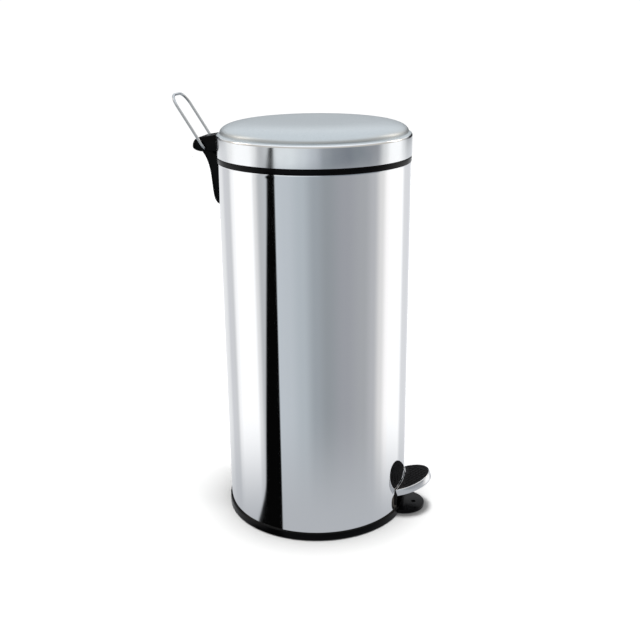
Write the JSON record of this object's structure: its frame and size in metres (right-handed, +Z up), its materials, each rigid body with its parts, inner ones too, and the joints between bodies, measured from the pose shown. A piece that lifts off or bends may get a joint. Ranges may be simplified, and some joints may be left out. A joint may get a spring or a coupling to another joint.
{
  "type": "pedal trash can",
  "caption": "Round steel pedal bin with a hinged domed lid, foot pedal linkage, inner bucket and rear carrying handle.",
  "frame": {"origin": "on the floor at the centre of the round body, at the underside of the centre foot pad", "axes": "+Z up; the pedal points towards -Y and the lid hinge is on the +Y side; +X is to the right when facing +Y"},
  "size_m": [0.297, 0.4123, 0.6691],
  "materials": {
    "polished_steel": "mirror-polished stainless steel sheet",
    "satin_steel": "satin stainless steel crown over a polished skirt",
    "chrome_steel": "bright chromed pressed steel",
    "chrome_wire": "bright drawn wire",
    "zinc_steel": "zinc-plated steel",
    "gloss_black": "glossy moulded plastic",
    "matt_black": "matt moulded plastic",
    "grey_plastic": "moulded polypropylene",
    "rubber": "ribbed rubber"
  },
  "bodies": {
    "can": {"outer_shell": "polished_steel", "base_tray": "gloss_black", "foot_pad_centre": "rubber", "foot_pad_rear_right": "rubber", "foot_pad_rear_left": "rubber", "foot_pad_front_left": "rubber", "foot_pad_front_right": "rubber", "pedal_bezel": "matt_black", "top_rim": "gloss_black", "bucket_seat": "matt_black", "axle_bracket": "zinc_steel", "bracket_rivet_front": "zinc_steel", "bracket_rivet_rear": "zinc_steel", "lever_axle": "zinc_steel", "axle_clip": "zinc_steel", "rod_guide_lower": "matt_black", "rod_guide_upper": "matt_black", "hinge_bracket": "gloss_black", "bracket_backplate": "zinc_steel", "leg_screw_lower": "zinc_steel", "leg_screw_upper": "zinc_steel", "hinge_pin": "zinc_steel"},
    "pedal": {"pedal_lever": "zinc_steel", "pedal_tread": "chrome_steel", "tread_pad": "rubber", "tread_rivet_left": "zinc_steel", "tread_rivet_right": "zinc_steel"},
    "rod": {"push_rod": "zinc_steel", "rod_foot": "matt_black", "rod_tip": "matt_black"},
    "lid": {"lid_shell": "satin_steel", "lid_liner": "matt_black", "hinge_ear": "gloss_black", "ear_screw_left": "zinc_steel", "ear_screw_right": "zinc_steel", "lid_buffer_right": "rubber", "lid_buffer_left": "rubber", "lid_buffer_front": "rubber"},
    "handle": {"carry_handle": "chrome_wire"},
    "bucket": {"inner_bucket": "grey_plastic"},
    "bail": {"bucket_bail": "zinc_steel", "bail_grip": "grey_plastic"}
  },
  "joints": [
    {"name": "lid_hinge", "type": "hinge", "parent": "can", "child": "lid", "pos_m": [0, 0.1675, 0.589], "axis": [-1, 0, 0], "range_deg": [0, 60]},
    {"name": "pedal_axle", "type": "hinge", "parent": "can", "child": "pedal", "pos_m": [0, -0.034, 0.028], "axis": [1, 0, 0], "range_deg": [0, 10.6]},
    {"name": "rod_slide", "type": "slide", "parent": "can", "child": "rod", "axis": [0, 0, 1], "range_m": [0, 0.0317]},
    {"name": "handle_pivot", "type": "hinge", "parent": "can", "child": "handle", "pos_m": [0, 0.1675, 0.589], "axis": [-1, 0, 0], "range_deg": [0, 140]},
    {"name": "bucket_lift", "type": "slide", "parent": "can", "child": "bucket", "axis": [0, 0, 1], "range_m": [0, 0.01]},
    {"name": "bail_pivot", "type": "hinge", "parent": "bucket", "child": "bail", "pos_m": [0, 0, 0.548], "axis": [-1, 0, 0], "range_deg": [0, 10]}
  ],
  "couplings": [
    {"joint": "pedal_axle", "follows": "lid_hinge", "ratio": 0.17567},
    {"joint": "rod_slide", "follows": "lid_hinge", "m_per_rad": 0.030176}
  ]
}
